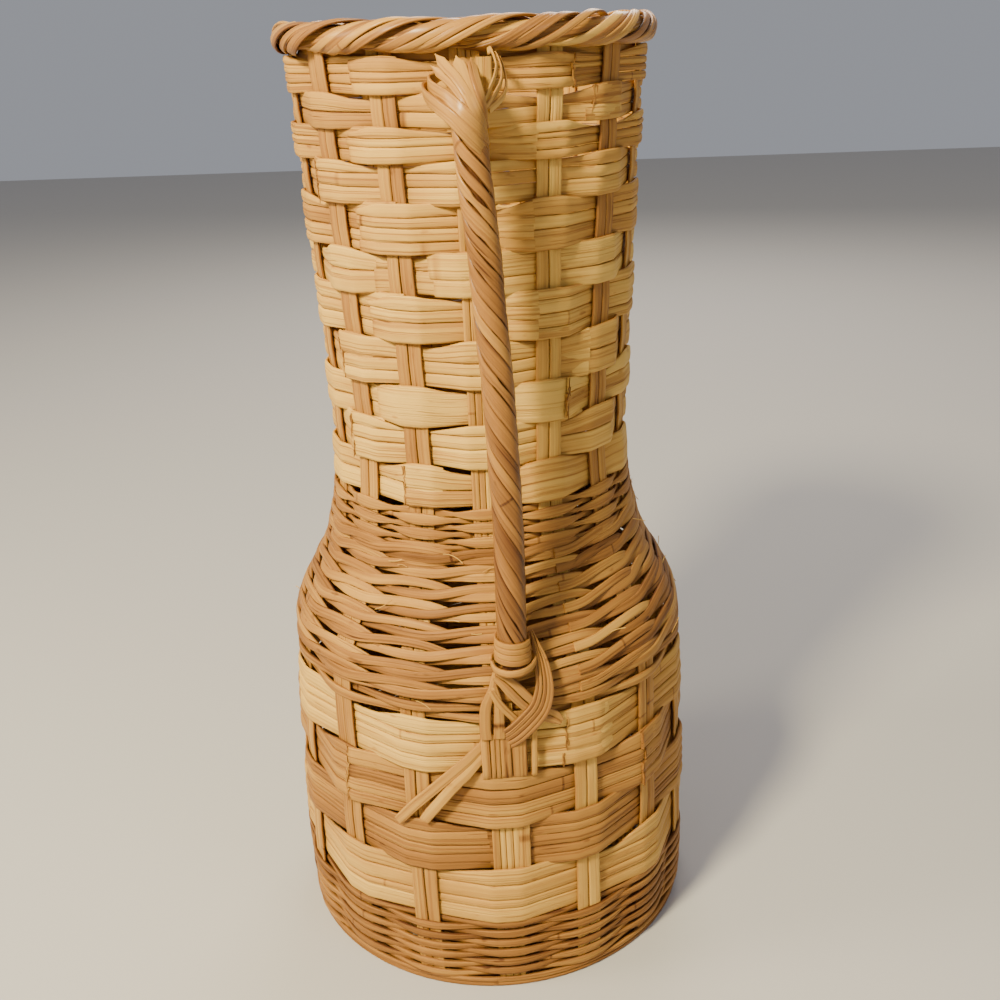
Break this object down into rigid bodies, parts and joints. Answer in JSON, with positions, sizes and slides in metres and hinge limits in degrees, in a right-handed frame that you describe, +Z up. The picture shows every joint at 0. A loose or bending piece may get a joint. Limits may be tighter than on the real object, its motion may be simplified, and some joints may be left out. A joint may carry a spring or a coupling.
{
  "type": "wicker pitcher vase",
  "caption": "Tall woven reed floor vase with a wide body, sloping shoulder, long open neck, rolled rim and one wrapped upright handle.",
  "frame": {"origin": "centre of the foot, on the floor", "axes": "+Z up along the vase, -Y towards the handle, +X to the right of the handle"},
  "size_m": [0.2342, 0.2389, 0.4988],
  "materials": {
    "straw_reed": "satin",
    "honey_reed": "satin",
    "amber_reed": "satin",
    "glossy_reed": "semi-gloss"
  },
  "bodies": {
    "root": {"foot_hoop": "amber_reed", "base_mat": "honey_reed", "stake_01": "honey_reed", "stake_02": "honey_reed", "stake_03": "honey_reed", "stake_04": "honey_reed", "stake_05": "honey_reed", "stake_06": "honey_reed", "stake_07": "honey_reed", "stake_08": "honey_reed", "stake_09": "honey_reed", "stake_10": "honey_reed", "stake_11": "honey_reed", "stake_12": "honey_reed", "stake_13": "honey_reed", "stake_14": "honey_reed", "stake_15": "honey_reed", "stake_16": "honey_reed", "body_row_01": "straw_reed", "body_row_02": "straw_reed", "body_row_03": "straw_reed", "body_row_04": "straw_reed", "neck_row_01": "straw_reed", "neck_row_02": "straw_reed", "neck_row_03": "straw_reed", "neck_row_04": "straw_reed", "neck_row_05": "straw_reed", "neck_row_06": "straw_reed", "neck_row_07": "straw_reed", "neck_row_08": "straw_reed", "neck_row_09": "straw_reed", "neck_row_10": "straw_reed", "neck_row_11": "straw_reed", "foot_weaver_a": "amber_reed", "foot_weaver_b": "amber_reed", "shoulder_weaver_a": "amber_reed", "shoulder_weaver_b": "amber_reed", "slope_weaver_a": "amber_reed", "slope_weaver_b": "amber_reed", "collar_weaver_a": "honey_reed", "collar_weaver_b": "honey_reed", "rim_hoop": "honey_reed", "rim_strand": "glossy_reed", "handle_core": "honey_reed", "handle_strand_1": "glossy_reed", "handle_strand_2": "glossy_reed", "handle_strand_3": "glossy_reed", "handle_strand_4": "glossy_reed", "upper_binding": "honey_reed", "lower_binding": "honey_reed", "leg_left": "honey_reed", "leg_right": "honey_reed", "cross_splint_wide": "glossy_reed", "cross_splint_narrow": "honey_reed", "lashing_crescent": "glossy_reed", "lashing_tail": "honey_reed", "top_loop_left": "glossy_reed", "top_loop_right": "glossy_reed"}
  },
  "joints": []
}
